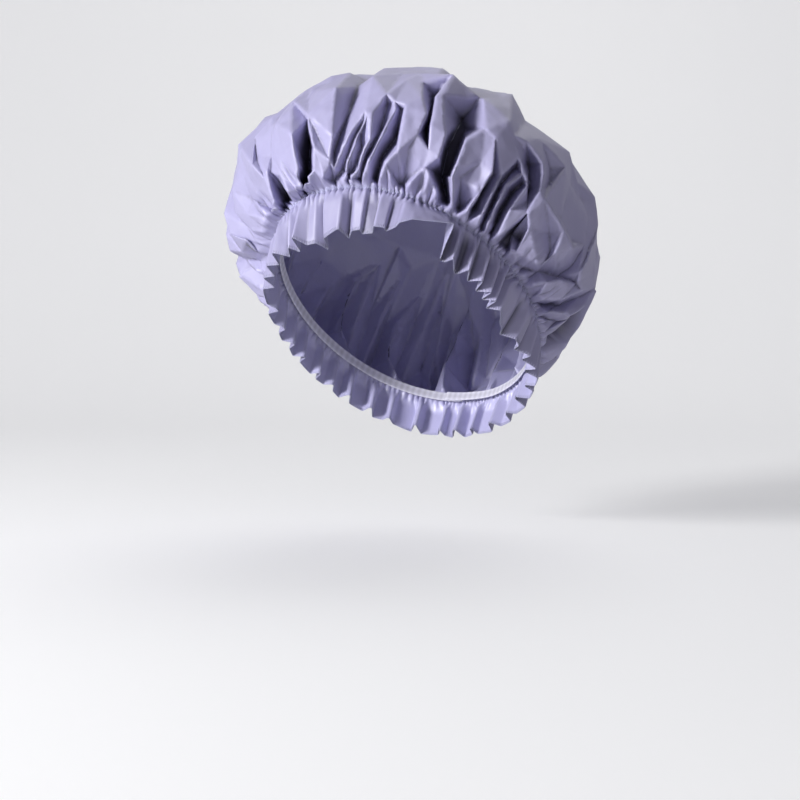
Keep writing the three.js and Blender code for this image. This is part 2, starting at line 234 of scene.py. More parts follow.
class StudioSetup(bpy.types.PropertyGroup):
    """Camera and light"""

    azimuth: angle_property("Camera azimuth", "Camera's angle round the cap from the front to its left", 25)
    elevation: angle_property("Camera elevation", "Camera's angle above level", 1)
    distance: length_property("Camera distance", "From the middle of the opening to the camera", 1.133)
    key_power: power_property("Key light", "Power of the lamp at the left of the camera's view", 38)
    fill_power: power_property("Fill light", "Power of the weak, broad lamp beside the camera", 3.9)
    back_power: power_property("Back light", "Power of the broad lamp above and behind the cap", 11)
    room_light: bpy.props.FloatProperty(
        name="Room light", description="Strength of the even light from all round", default=0.12, min=0)


class FoldDrawing:
    """Corners and lines on the flat round, in mm, with each corner's height over the plain crown."""

    LOW_LINE = 3
    SAME_CORNER = 0.6

    def __init__(self, radius):
        self.radius = radius
        self.points, self.heights, self.joins = [], [], []

    def place(self, degrees, above):
        """The spot at an angle round the opening and a height above the gather."""
        angle = math.radians(degrees)
        return (self.radius - above) * math.sin(angle), -(self.radius - above) * math.cos(angle)

    def put(self, spot, height):
        """Adds a corner, or finds the one that is there already, and gives its number."""
        for i, old in enumerate(self.points):
            if max(abs(old[0] - spot[0]), abs(old[1] - spot[1])) < self.SAME_CORNER:
                return i
        self.points.append(spot)
        self.heights.append(height)
        return len(self.points) - 1

    def line(self, *spots):
        """Draws a line through spots of (degrees, mm above the gather, mm outwards)."""
        ends = [self.put(self.place(degrees, max(above, self.LOW_LINE)), height)
                for degrees, above, height in spots]
        self.joins.extend((a, b) for a, b in zip(ends, ends[1:]) if a != b)

    def dots(self, spacing):
        """Places at the corners and along the lines."""
        taken = [np.array(spot) for spot in self.points]
        for a, b in self.joins:
            start, end = np.array(self.points[a]), np.array(self.points[b])
            count = max(2, int(math.dist(start, end) / spacing))
            taken.extend(start + (end - start) * k for k in np.linspace(0, 1, count))
        return np.array(taken)


class FoldPlan:
    """The worn sheet's folds: flat panels between lines that are drawn on the flat round.

    Each corner of the drawing stands at its own height over the plain crown, and the film runs straight
    from corner to corner. Narrow pleats run up from the stitches, and knife pleats run down the ruffle.
    """

    COLUMNS, ROWS = 1440, 217
    PUCKER_HEIGHT = 0.0014
    PAIR_HEIGHT = 0.0019
    SEAM_DEPTH = 0.0018
    PLEAT_HEIGHT = 0.0038
    PANEL_BULGE = 0.25
    CRINKLE_HEIGHT = 0.0005
    # How far the crown draws in low down behind its left side
    SIDE_DRAW_IN = 0.008
    # Direction in which the front's folds stand out, in the opening's own frame
    FOLD_LEAN = np.array([0.42, -0.69, -0.58])
    # Distances from the gather line, in metres, over which each thing comes in or fades out
    WANDER_IN = (0, 0.008)
    PUCKER_OUT = (0.0005, 0.006)
    PAIR_IN, PAIR_OUT = (0.000, 0.004), (0.003, 0.018)
    SEAM_OUT = (0.0004, 0.0030)
    FOLD_IN = (0.0005, 0.006)
    CRINKLE_IN = (0.002, 0.012)
    PLEAT_IN = (0.0005, 0.010)
    # Depth below the plain crown, in metres, at which painted shade starts to darken the film's colour and at
    # which it is full
    PAINTED_SHADE_DEPTH = (0.000, 0.013)
    # Painted shade on the ruffle: a little all over, for the shade under the crown, and more in the hollows of its
    # pleats
    RUFFLE_SUNK, HOLLOW_SUNK, HOLLOW_DEPTH = 0.16, 0.7, (0.2, 1.2)

    def __init__(self, cap, handling):
        self.cap = cap
        self.random = np.random.default_rng(handling.fold_seed)
        self.rows = np.linspace(0, cap.gather_radius, self.ROWS)
        self.angles = np.arange(self.COLUMNS + 1) * TURN / self.COLUMNS
        self.plain, self.outward = self.plain_crown()
        self.draw_folds()
        self.crinkle()
        self.make_puckers()
        self.make_pleats()

    def opening_at(self, angle):
        """Places on the gather line, and the directions out from the middle."""
        side, front = np.sin(angle), np.cos(angle)
        width, depth = self.cap.opening_half_width, self.cap.opening_half_depth
        return (np.stack([width * side, -depth * front, 0 * side], -1), np.stack([side, -front, 0 * side], -1))

    def plain_crown(self):
        """The crown without folds, its meridians run through at an even pace, and its outward directions."""
        cap = self.cap
        low_share, low_steps, high_steps, rise_power = 0.27, 60, 140, 1.25
        turning_height = 0.012
        low = np.linspace(0, low_share, low_steps, endpoint=False)
        turned = (1 - np.cos(np.linspace(0, math.pi, high_steps))) / 2
        share = np.concatenate([low, low_share + (1 - low_share) * turned])[:, None]
        opening, away = self.opening_at(self.angles)
        side, front = np.sin(self.angles), np.cos(self.angles)
        reach = np.where(front > 0, cap.crown_front_reach, cap.crown_rear_reach)
        wide_x, wide_y = cap.crown_half_width * side - cap.crown_side_lean, -reach * front
        rise = np.clip(share / low_share, 0, 1)
        swing = np.sin(math.pi / 2 * rise)
        climb = math.pi / 2 * np.clip((share - low_share) / (1 - low_share), 0, 1)
        spread = np.cos(climb).clip(0) ** (2 / cap.dome_power)
        lift = np.sin(climb).clip(0) ** (2 / cap.dome_power)
        level = 0 * self.angles
        below = np.stack([opening[:, 0] + (wide_x - opening[:, 0]) * swing,
                          opening[:, 1] + (wide_y - opening[:, 1]) * swing,
                          cap.crown_widest_height * rise ** rise_power
                          - cap.crown_droop * np.sin(math.pi * rise) ** 2 * (1 - front) / 2], -1)
        above = np.stack([-cap.crown_top_lean + (wide_x + cap.crown_top_lean) * spread, wide_y * spread,
                          cap.crown_widest_height + (cap.crown_height - cap.crown_widest_height) * lift + level],
                         -1)
        lines = np.where((share < low_share)[..., None], below, above)
        paced = np.empty((len(self.rows), len(self.angles), 3))
        along = np.vstack([level, np.cumsum(lengths(np.diff(lines, axis=0)), axis=0)])
        for column in range(len(self.angles)):
            want = self.rows / cap.gather_radius * along[-1, column]
            for axis in range(3):
                paced[:, column, axis] = np.interp(want, along[:, column], lines[:, column, axis])
        ring = paced[:, :-1]
        across = np.roll(ring, -1, 1) - np.roll(ring, 1, 1)
        outward = np.cross(np.concatenate([across, across[:, :1]], 1), np.gradient(paced, axis=0))
        outward[-1] = (0, 0, 1)
        outward /= np.maximum(lengths(outward), 1e-12)[..., None]
        weight = np.clip(self.rows / turning_height, 0, 1)[:, None, None]
        outward = away * (1 - weight) + outward * weight
        return paced, outward / lengths(outward)[..., None]

    def on_crown(self, flat):
        """Places and outward directions of the plain crown for points of the flat round."""
        above = (self.cap.gather_radius - lengths(flat)) / self.cap.gather_radius
        row = np.clip(above, 0, 1) * (len(self.rows) - 1)
        column = share_round(flat) * self.COLUMNS
        i = np.minimum(row.astype(int), len(self.rows) - 2)
        j = np.minimum(column.astype(int), self.COLUMNS - 1)
        u, v = (row - i)[:, None], (column - j)[:, None]
        return [(grid[i, j] * (1 - u) + grid[i + 1, j] * u) * (1 - v)
                + (grid[i, j + 1] * (1 - u) + grid[i + 1, j + 1] * u) * v for grid in (self.plain, self.outward)]

    def draw_folds(self):
        """Draws all the folds on the flat round, cuts it into panels, and sets how its corners stand."""
        drawing = FoldDrawing(self.cap.gather_radius / MM)
        for line in FRONT_FOLDS:
            drawing.line(*line)
        front_corners = len(drawing.points)
        self.draw_tucks(drawing)
        for above, first, heights in CRUMPLES:
            for degrees, height in zip(CRUMPLE_DEGREES[first:], heights):
                drawing.put(drawing.place(degrees, above), height)
        self.fill_gaps(drawing)
        for degrees in range(0, 360, 4):
            drawing.put(drawing.place(degrees, 0), 0)
        corners, edges, panels, sources, *_ = delaunay_2d_cdt(
            [Vector(p) for p in drawing.points], drawing.joins, [], 0, 1e-4)
        self.corners = np.array([(c.x, c.y) for c in corners]) * MM
        self.panels, self.creases = np.array(panels), edges
        raised = np.array([np.mean([drawing.heights[i] for i in source]) if source else np.nan
                           for source in sources])
        for i in np.flatnonzero(np.isnan(raised)):
            near = np.argsort(lengths(self.corners - self.corners[i]))
            raised[i] = raised[near[~np.isnan(raised[near])][:3]].min()
        self.raised = raised * MM - self.drawn_in()
        self.lean_folds(np.array([bool(source) and min(source) < front_corners for source in sources]))

    def draw_tucks(self, drawing):
        """Draws the tucks round the rest of the crown, and the ridges and creases between them."""
        chance = self.random.uniform
        spacing = REAR_TUCKS[1][0] - REAR_TUCKS[0][0]
        for tuck, drift, reach, depth in REAR_TUCKS:
            drawing.line((tuck, 3, depth * 0.5), (tuck + drift * 0.3, reach * 0.35, depth),
                         (tuck + drift * 0.7, reach * 0.7, depth * 0.75), (tuck + drift, reach, -1))
            for side in (0.26, 0.74):
                ridge = tuck + side * spacing
                drawing.line((ridge, 4, 5), (ridge + chance(-2, 2), reach * chance(0.35, 0.65), 8))
            middle = tuck + spacing * chance(0.45, 0.55)
            drawing.line((middle, 3, -3), (middle, reach * chance(0.15, 0.25), -4),
                         (middle + chance(-2, 2), reach * chance(0.3, 0.5), 5))
            for along in (0.16, 0.5, 0.84):
                slant = chance(-5, 7)
                spot = tuck + spacing * (along + chance(-0.06, 0.06))
                low, top = chance(34, 48), chance(88, 135)
                drawing.line((spot, low, 7), (spot + 0.3 * slant, mix(low, top, 0.5), chance(7, 9)),
                             (spot + slant, top, chance(5, 8)))
                spot += spacing * chance(0.10, 0.20)
                top = mix(low, top, chance(0.6, 0.9))
                drawing.line((spot, low, 0), (spot + 0.4 * slant, mix(low, top, 0.45), chance(-4, 0)),
                             (spot + slant, top, chance(1, 4)))

    def fill_gaps(self, drawing):
        """Puts corners at random where the drawing leaves room, closer at the front than at the back."""
        tries, dot_spacing, bare_strip = 9000, 6, 8
        front_room, rear_room, high_line = 11, 17, 120
        slender_drop = 6
        taken = drawing.dots(dot_spacing)
        for _ in range(tries):
            above = drawing.radius * (1 - math.sqrt(self.random.random()))
            degrees = self.random.random() * 360 - 180
            spot = np.array(drawing.place(degrees, above))
            in_front = -75 < degrees < 104 and above < 100
            room = front_room if in_front else rear_room * (0.75 + 0.75 * min(1, above / 70))
            if above < bare_strip or lengths(taken - spot).min() < room:
                continue
            taken = np.vstack([taken, spot])
            if in_front:
                # Among the slender folds at the left side, so that none of these corners stands out there
                slender = 46 < degrees < 62 and above < 45
                drawing.put(tuple(spot), self.random.uniform(0, 5) - (slender_drop if slender else 0))
                continue
            climb = min(1, above / high_line)
            low, high = 1 - 4 * (1 - climb), 7.5 - 2.5 * climb
            drawing.put(tuple(spot),
                        mix(low, high, self.random.choice([0.15, 0.85])) + self.random.uniform(-1.2, 1.2))

    def drawn_in(self):
        """How far each corner is drawn in, low down behind the cap's left side."""
        turned = np.degrees(np.arctan2(self.corners[:, 0], -self.corners[:, 1]))
        above = self.cap.gather_radius / MM - lengths(self.corners) / MM
        behind = eased(104, 116, turned) * (1 - eased(150, 165, turned))
        return self.SIDE_DRAW_IN * behind * eased(2, 16, above) * (1 - eased(50, 80, above))

    def lean_folds(self, at_front):
        """Sets the corners' directions: straight out, but the front's along the lean where they face it."""
        _, outward = self.on_crown(self.corners)
        facing = (outward @ self.FOLD_LEAN)[:, None]
        leaned = self.FOLD_LEAN / np.maximum(facing, 0.55)
        share = (at_front * eased(0.15, 0.5, facing[:, 0]))[:, None]
        self.directions = outward * (1 - share) + leaned * share

    def crinkle(self):
        """Small crinkles all over the film: corners a few mm apart, each a little high or low."""
        radius, room, stray = self.cap.gather_radius, 0.0075, 0.42
        side = np.arange(-radius, radius, room)
        spots = np.stack(np.meshgrid(side, side), -1).reshape(-1, 2)
        spots = spots + self.random.uniform(-stray, stray, spots.shape) * room
        corners, _, panels, *_ = delaunay_2d_cdt([Vector(p) for p in spots], [], [], 0, 1e-6)
        self.crinkle_corners = np.array([(c.x, c.y) for c in corners])
        self.crinkle_panels = np.array(panels)
        along, across = (41.0, 23.0), (-29.0, 37.0)
        wave = np.sin(self.crinkle_corners @ along + 2 * np.sin(self.crinkle_corners @ across))
        self.crinkles = (self.random.normal(0, 1, len(self.crinkle_corners)).clip(-2, 2)
                         * (0.55 + 0.45 * wave) * self.CRINKLE_HEIGHT)

    @staticmethod
    def panel_mix(flat, corners, panels, values):
        """Values of a map's corners, run straight across its panels to points of the flat round."""
        tile, tiles_wide = 0.012, 100
        tile_of = (np.floor(flat / tile).astype(int) + tiles_wide // 2) @ (tiles_wide, 1)
        order = np.argsort(tile_of, kind="stable")
        tile_of = tile_of[order]
        result = np.full((len(flat), values.shape[1]), np.nan)
        for panel in panels:
            a, b, c = corners[panel]
            low = np.floor(np.min([a, b, c], 0) / tile).astype(int) + tiles_wide // 2
            high = np.floor(np.max([a, b, c], 0) / tile).astype(int) + tiles_wide // 2
            near = np.concatenate([
                order[np.searchsorted(tile_of, column * tiles_wide + low[1]):
                      np.searchsorted(tile_of, column * tiles_wide + high[1], "right")]
                for column in range(low[0], high[0] + 1)])
            area = (b[1] - c[1]) * (a[0] - c[0]) + (c[0] - b[0]) * (a[1] - c[1])
            if abs(area) < 1e-12:
                continue
            x, y = flat[near, 0] - c[0], flat[near, 1] - c[1]
            first = ((b[1] - c[1]) * x + (c[0] - b[0]) * y) / area
            second = ((c[1] - a[1]) * x + (a[0] - c[0]) * y) / area
            shares = np.stack([first, second, 1 - first - second], 1)
            inside = shares.min(1) > -1e-6
            result[near[inside]] = shares[inside] @ values[panel]
        return result

    def make_puckers(self):
        """The stitches' puckers as tables over the turn: where each starts, and how high it stands."""
        count = self.cap.pucker_count
        widths = self.random.uniform(0.55, 1.6, count)
        self.pucker_starts = np.append(0, np.cumsum(widths)) / widths.sum()
        self.pucker_rises = self.random.uniform(0.1, 1.7, count)
        self.pair_rises = np.repeat(self.random.uniform(0.3, 1.3, count // 2), 2)
        self.pucker_reaches = self.random.uniform(0.5, 1.7, count)

    def make_pleats(self):
        """The ruffle's pleats as tables over the turn: where each corner is, its cloth, and how far out."""
        knots = [(degrees / 360, out) for degrees, out in RUFFLE_PLEATS]
        girth = TURN * (self.cap.opening_half_width + self.cap.opening_half_depth) / 2
        share, last = knots[-1][0], 1 + knots[0][0]
        closing_gap, ridge_out, hollow_rise = 0.03, 0.9, 0.2
        while share < last - closing_gap:
            wide, narrow = self.random.uniform(0.010, 0.024), self.random.uniform(0.003, 0.008)
            slope = self.random.uniform(-0.3, 0.3)
            deep = self.random.uniform(-1.3, -0.7)
            knots += [(share + narrow, deep), (share + 1.6 * narrow, deep + hollow_rise),
                      (share + 2.4 * narrow, ridge_out + slope), (share + 2.4 * narrow + wide, ridge_out - slope)]
            share = knots[-1][0]
        knots.append(((share + last) / 2, -1.0))
        shares, outs = np.array(knots).T
        steps = np.stack([np.diff(shares, append=last) * girth,
                          np.diff(outs, append=outs[0]) * self.PLEAT_HEIGHT], 1)
        along = np.append(0, np.cumsum(lengths(steps)))
        cloth = shares[0] + along / along[-1]
        shares, outs = np.append(shares, last), np.append(outs, outs[0])
        even_count, half, table_count = 720, 45, 2880
        even = np.linspace(shares[0], shares[0] + 1, even_count + 1)
        slip = np.interp(even, shares, shares - cloth)[:-1]
        window = np.hanning(2 * half + 1)
        smooth = np.convolve(np.concatenate([slip[-half:], slip, slip[:half]]), window / window.sum(), "valid")
        cloth = cloth + np.interp(shares, even, np.append(smooth, smooth[0]))
        self.pleat_cloth = np.linspace(cloth[0], cloth[0] + 1, table_count + 1)
        self.pleat_shares, self.pleat_outs = (
            self.rounded(np.interp(self.pleat_cloth, cloth, values), full)
            for values, full in ((shares, 1), (outs, 0)))

    @staticmethod
    def rounded(values, full):
        """A table over the turn with its corners rounded. It gains full from one turn to the next."""
        half = 5
        window = np.hanning(2 * half + 1)
        wide = np.concatenate([values[-half - 1:-1] - full, values, values[1:half + 1] + full])
        return np.convolve(wide, window / window.sum(), "valid")

    def stitched(self, share, above):
        """Height of the narrow pleats that the stitches hold, and of the pairs they merge into."""
        wander, waves = 0.0022, 19
        share = (share + wander * np.sin(waves * TURN * share + 1) * eased(*self.WANDER_IN, np.abs(above))) % 1
        last = self.cap.pucker_count - 1
        pucker = np.clip(np.searchsorted(self.pucker_starts, share, "right") - 1, 0, last)
        start, end = self.pucker_starts[pucker], self.pucker_starts[pucker + 1]
        way = (share - start) / (end - start)
        ridge = 1 - 2 * np.abs(2 * way - 1)
        first = pucker // 2 * 2
        start, end = self.pucker_starts[first], self.pucker_starts[first + 2]
        pair_way = (share - start) / (end - start)
        pair_ridge = 1 - 2 * np.abs(2 * pair_way - 1)
        reach = (self.pucker_reaches[pucker] * (1 - pair_ridge) / 2
                 + self.pucker_reaches[first] * (1 + pair_ridge) / 2)
        near = 1 - eased(*self.PUCKER_OUT, np.abs(above) / reach)
        single = self.PUCKER_HEIGHT * near * np.where(ridge > 0, ridge * self.pucker_rises[pucker], ridge)
        merged = eased(*self.PAIR_IN, above) * (1 - eased(*self.PAIR_OUT, above / reach))
        double = self.PAIR_HEIGHT * merged * np.where(
            pair_ridge > 0, pair_ridge * self.pair_rises[pucker], pair_ridge)
        return single + double - self.SEAM_DEPTH * (1 - eased(*self.SEAM_OUT, np.abs(above)))

    def places(self, flat):
        """Where the points of the flat round go, in the opening's own frame, and how much painted shade each gets
        from how deep it lies in the folds.
        """
        above = self.cap.gather_radius - lengths(flat)
        share = share_round(flat)
        plain, outward = self.on_crown(flat)
        corner_place, _ = self.on_crown(self.corners)
        lift = self.directions * self.raised[:, None]
        mixed = self.panel_mix(flat, self.corners, self.panels, np.hstack([corner_place, lift]))
        missed = np.isnan(mixed[:, 0])
        mixed[missed, :3], mixed[missed, 3:] = plain[missed], 0
        folded = mixed[:, :3] * (1 - self.PANEL_BULGE) + plain * self.PANEL_BULGE + mixed[:, 3:]
        full = eased(*self.FOLD_IN, above)[:, None]
        crown = plain * (1 - full) + folded * full
        crinkle = self.panel_mix(flat, self.crinkle_corners, self.crinkle_panels, self.crinkles[:, None])[:, 0]
        lift = self.stitched(share, above) + np.nan_to_num(crinkle) * eased(*self.CRINKLE_IN, np.abs(above))
        # Painted shade: how far the colour is darkened, from how deep the film lies below the plain crown
        painted_shade = eased(*self.PAINTED_SHADE_DEPTH, ((plain - crown) * outward).sum(1))
        ruffle, ruffle_painted_shade = self.ruffle(share, -above)
        hanging = above < -1e-6
        return (np.where(hanging[:, None], ruffle, crown + outward * lift[:, None]),
                np.where(hanging, ruffle_painted_shade, painted_shade))

    def ruffle(self, share, below):
        """Where the ruffle's points go, narrow at the stitches and then in pleats, and how much painted shade they
        get.
        """
        cap = self.cap
        start_share, flare_power, least_drop = 0.75, 1.3, 0.4
        opened = eased(*self.PLEAT_IN, below)
        down = below / (cap.cut_radius - cap.gather_radius)
        first = self.pleat_cloth[0]
        cloth = (share - first) % 1 + first
        pleat_share = np.interp(cloth, self.pleat_cloth, self.pleat_shares)
        out = np.interp(cloth, self.pleat_cloth, self.pleat_outs)
        angle = (cloth + (pleat_share - cloth) * opened) * TURN
        opening, away = self.opening_at(angle)
        hang = np.array([0, math.sin(cap.ruffle_hang), -math.cos(cap.ruffle_hang)])
        degrees, spread, longer = np.array(RUFFLE_HANG).T
        turned = ((pleat_share + 0.5) % 1 - 0.5) * 360
        spread = np.interp(turned, degrees, spread) * MM * down ** flare_power
        length = below + np.interp(turned, degrees, longer) * MM * down
        wave = (self.PLEAT_HEIGHT * out * opened * (start_share + (1 - start_share) * down)
                + self.stitched(share, -below) + spread - cap.ruffle_draw_in * down)
        drop = np.sqrt(np.maximum(length ** 2 - spread ** 2, (least_drop * length) ** 2))
        # Painted shade: a little all over the ruffle, and more in the hollows of its pleats
        painted_shade = self.RUFFLE_SUNK + self.HOLLOW_SUNK * eased(*self.HOLLOW_DEPTH, -out) * opened
        return opening + hang * drop[:, None] + away * wave[:, None], painted_shade


def creased_round(cap, points_round, corners, creases):
    """Points and triangles of a flat round whose edges follow the creases of the fold drawing."""
    step = TURN * cap.gather_radius / points_round
    # Steps along a crease and between rings, as shares of the step round; then metres from the gather line
    crease_pace, ruffle_pace, ring_pace, clear_share = 1.1, 0.95, 0.9, 0.6
    fine_strip, thinning_strip, thinning = 0.02, 0.12, 0.6

    def ring(radius, count, odd):
        angles = (np.arange(count) + 0.5 * odd) * TURN / count
        return radius * np.stack([np.cos(angles), np.sin(angles)], 1)

    lines, line_points = [], []
    for a, b in creases:
        start, end = corners[a], corners[b]
        parts = max(1, round(math.dist(start, end) / (step * crease_pace)))
        spots = start + (end - start) * np.linspace(0, 1, parts + 1)[:, None]
        kept = lengths(spots) < cap.gather_radius - 2 * step
        for k in range(parts):
            if kept[k] and kept[k + 1]:
                lines.append((len(line_points), len(line_points) + 1))
                line_points += [spots[k], spots[k + 1]]
    line_points = np.array(line_points)
    keys = {}
    names = [keys.setdefault((round(x * 1e6), round(y * 1e6)), len(keys)) for x, y in line_points]
    merged = np.zeros((len(keys), 2))
    merged[names] = line_points
    lines = [(names[a], names[b]) for a, b in lines]
    tree = KDTree(len(merged))
    for i, (x, y) in enumerate(merged):
        tree.insert((x, y, 0), i)
    tree.balance()

    ruffle_width = cap.cut_radius - cap.gather_radius
    outer = round(ruffle_width / step / ruffle_pace)
    rings = [ring(cap.gather_radius + ruffle_width * i / outer, points_round, i % 2)
             for i in range(outer + 1)]
    inner = []
    radius, odd = cap.gather_radius, 0
    while True:
        past_fine = (cap.gather_radius - radius - fine_strip) / thinning_strip
        spacing = step * (1 + thinning * np.clip(past_fine, 0, 1))
        radius -= spacing * ring_pace
        if radius < spacing * clear_share:
            break
        odd = 1 - odd
        near = radius > cap.gather_radius - fine_strip
        count = points_round if near else max(6, round(TURN * radius / spacing))
        inner.extend(spot for spot in ring(radius, count, odd)
                     if tree.find((*spot, 0))[2] > clear_share * spacing)
    points = np.vstack([merged, *rings, inner])
    corners, _, faces, *_ = delaunay_2d_cdt([Vector(p) for p in points], lines, [], 0, 1e-7)
    flat, faces = np.array([(c.x, c.y) for c in corners]), np.array(faces)
    a, b, c = flat[faces].transpose(1, 0, 2)
    clockwise = np.cross(b - a, c - a) < 0
    faces[clockwise] = faces[clockwise][:, ::-1]
    return flat, faces


def gathered_film(cap, handling):
    """Flat points, triangles, places and painted shade amounts of the gathered sheet, between the vinyl and the
    satin.
    """
    plan = FoldPlan(cap, handling)
    flat, faces = creased_round(cap, handling.points_round, plan.corners, plan.creases)
    places, painted_shade = plan.places(flat)
    tilt = cap.wearing_tilt
    upright = np.array([[1, 0, 0], [0, math.cos(tilt), math.sin(tilt)], [0, -math.sin(tilt), math.cos(tilt)]])
    return flat, faces, places @ upright.T, painted_shade


def point_normals(places, faces):
    """Outward direction at each point."""
    across = np.cross(places[faces[:, 1]] - places[faces[:, 0]], places[faces[:, 2]] - places[faces[:, 0]])
    normals = np.zeros_like(places)
    for corner in range(3):
        for axis in range(3):
            normals[:, axis] += np.bincount(faces[:, corner], across[:, axis], len(places))
    return normals / np.maximum(lengths(normals), 1e-15)[:, None]


def crease_measure(places, faces, normals):
    """How sharply the sheet bends at each point: above 0 on a ridge, below 0 in a valley."""
    edges = np.unique(np.sort(faces[:, [0, 1, 1, 2, 2, 0]].reshape(-1, 2), axis=1), axis=0)
    a, b = edges.T
    step = places[b] - places[a]
    bend = ((normals[b] - normals[a]) * step).sum(1) / np.maximum((step * step).sum(1), 1e-12)
    total = np.bincount(a, bend, len(places)) + np.bincount(b, bend, len(places))
    return total / np.maximum(np.bincount(a, minlength=len(places)) + np.bincount(b, minlength=len(places)), 1)


def linked(name, data):
    """A new object in the scene, at the origin."""
    thing = bpy.data.objects.new(name, data)
    bpy.context.scene.collection.objects.link(thing)
    return thing


def new_object(name, mesh, material):
    """Links a mesh or a curve as a piece."""
    mesh.materials.append(material)
    return linked(name, mesh)


def sheet_object(name, flat, faces, places, creases, painted_shade, material):
    """A sheet's mesh with its flat layout as a UV map and an attribute, and its creases and its painted shade
    amounts.
    """
    mesh = bpy.data.meshes.new(name)
    mesh.from_pydata(places.tolist(), [], faces.tolist())
    mesh.polygons.foreach_set("use_smooth", [True] * len(mesh.polygons))
    cloth = mesh.attributes.new("cut_place", "FLOAT_VECTOR", "POINT")
    cloth.data.foreach_set("vector", np.column_stack([flat, 0 * flat[:, 0]]).ravel())
    for level, values in (("crease", creases), ("painted_shade", painted_shade)):
        mesh.attributes.new(level, "FLOAT", "POINT").data.foreach_set("value", values)
    corners = np.empty(len(mesh.loops), np.int32)
    mesh.loops.foreach_get("vertex_index", corners)
    layout = mesh.uv_layers.new(name="cut_layout")
    layout.data.foreach_set("uv", (0.5 + flat[corners] / (2 * lengths(flat).max()) * 0.98).ravel())
    mesh.update()
    return new_object(name, mesh, material)


class SeamLine:
    """Places round the cap on one ring of a sheet, read back from its mesh."""

    def __init__(self, sheet, radius, tolerance=0.00025):
        mesh = sheet.data
        count = len(mesh.vertices)
        places, normals, flat = (np.empty((count, 3)) for _ in range(3))
        mesh.vertices.foreach_get("co", places.ravel())
        mesh.vertices.foreach_get("normal", normals.ravel())
        mesh.attributes["cut_place"].data.foreach_get("vector", flat.ravel())
        off = np.abs(lengths(flat) - radius)
        ring = np.flatnonzero(off < off.min() + tolerance)
        share = share_round(flat[ring])
        order = np.argsort(share)
        ring, share = ring[order], share[order]
        self.share = np.concatenate([[share[-1] - 1], share, [share[0] + 1]])
        closed = np.concatenate([ring[-1:], ring, ring[:1]])
        self.places, self.normals = places[closed], normals[closed]

    def at(self, share, lift):
        """The place at a share of the turn, lifted off the sheet's face."""
        share = share % 1
        place, normal = ([np.interp(share, self.share, values[:, axis]) for axis in range(3)]
                         for values in (self.places, self.normals))
        return Vector(place) + Vector(normal).normalized() * lift


def thread_object(name, path, width, material):
    """A closed thread along a path, as a round curve."""
    curve = bpy.data.curves.new(name, "CURVE")
    curve.dimensions = "3D"
    curve.bevel_depth, curve.bevel_resolution, curve.resolution_u = width / 2, 1, 1
    curve.use_fill_caps = True
    line = curve.splines.new("POLY")
    line.points.add(len(path) - 1)
    line.points.foreach_set("co", [number for spot in path for number in (*spot, 1)])
    line.use_cyclic_u, line.use_smooth = True, True
    return new_object(name, curve, material)


class Quantity:
    """A number on its way through a shader. Sums and products of it add Math nodes."""

    def __init__(self, paint, socket):
        self.paint, self.socket = paint, socket

    def math(self, operation, *others, clamp=False):
        return self.paint.node("ShaderNodeMath", {"operation": operation, "use_clamp": clamp},
                               dict(enumerate((self, *others))))

    def __add__(self, other):
        return self.math("ADD", other)

    __radd__ = __add__

    def __sub__(self, other):
        return self.math("SUBTRACT", other)

    def __rsub__(self, other):
        return self.paint.node("ShaderNodeMath", {"operation": "SUBTRACT"}, {0: other, 1: self})

    def __mul__(self, other):
        return self.math("MULTIPLY", other)

    __rmul__ = __mul__

    def held(self):
        """The number kept between 0 and 1."""
        return self.math("ADD", 0.0, clamp=True)

    def scaled(self, low, high):
        """The number moved from 0 to 1 into low to high."""
        return self * (high - low) + low


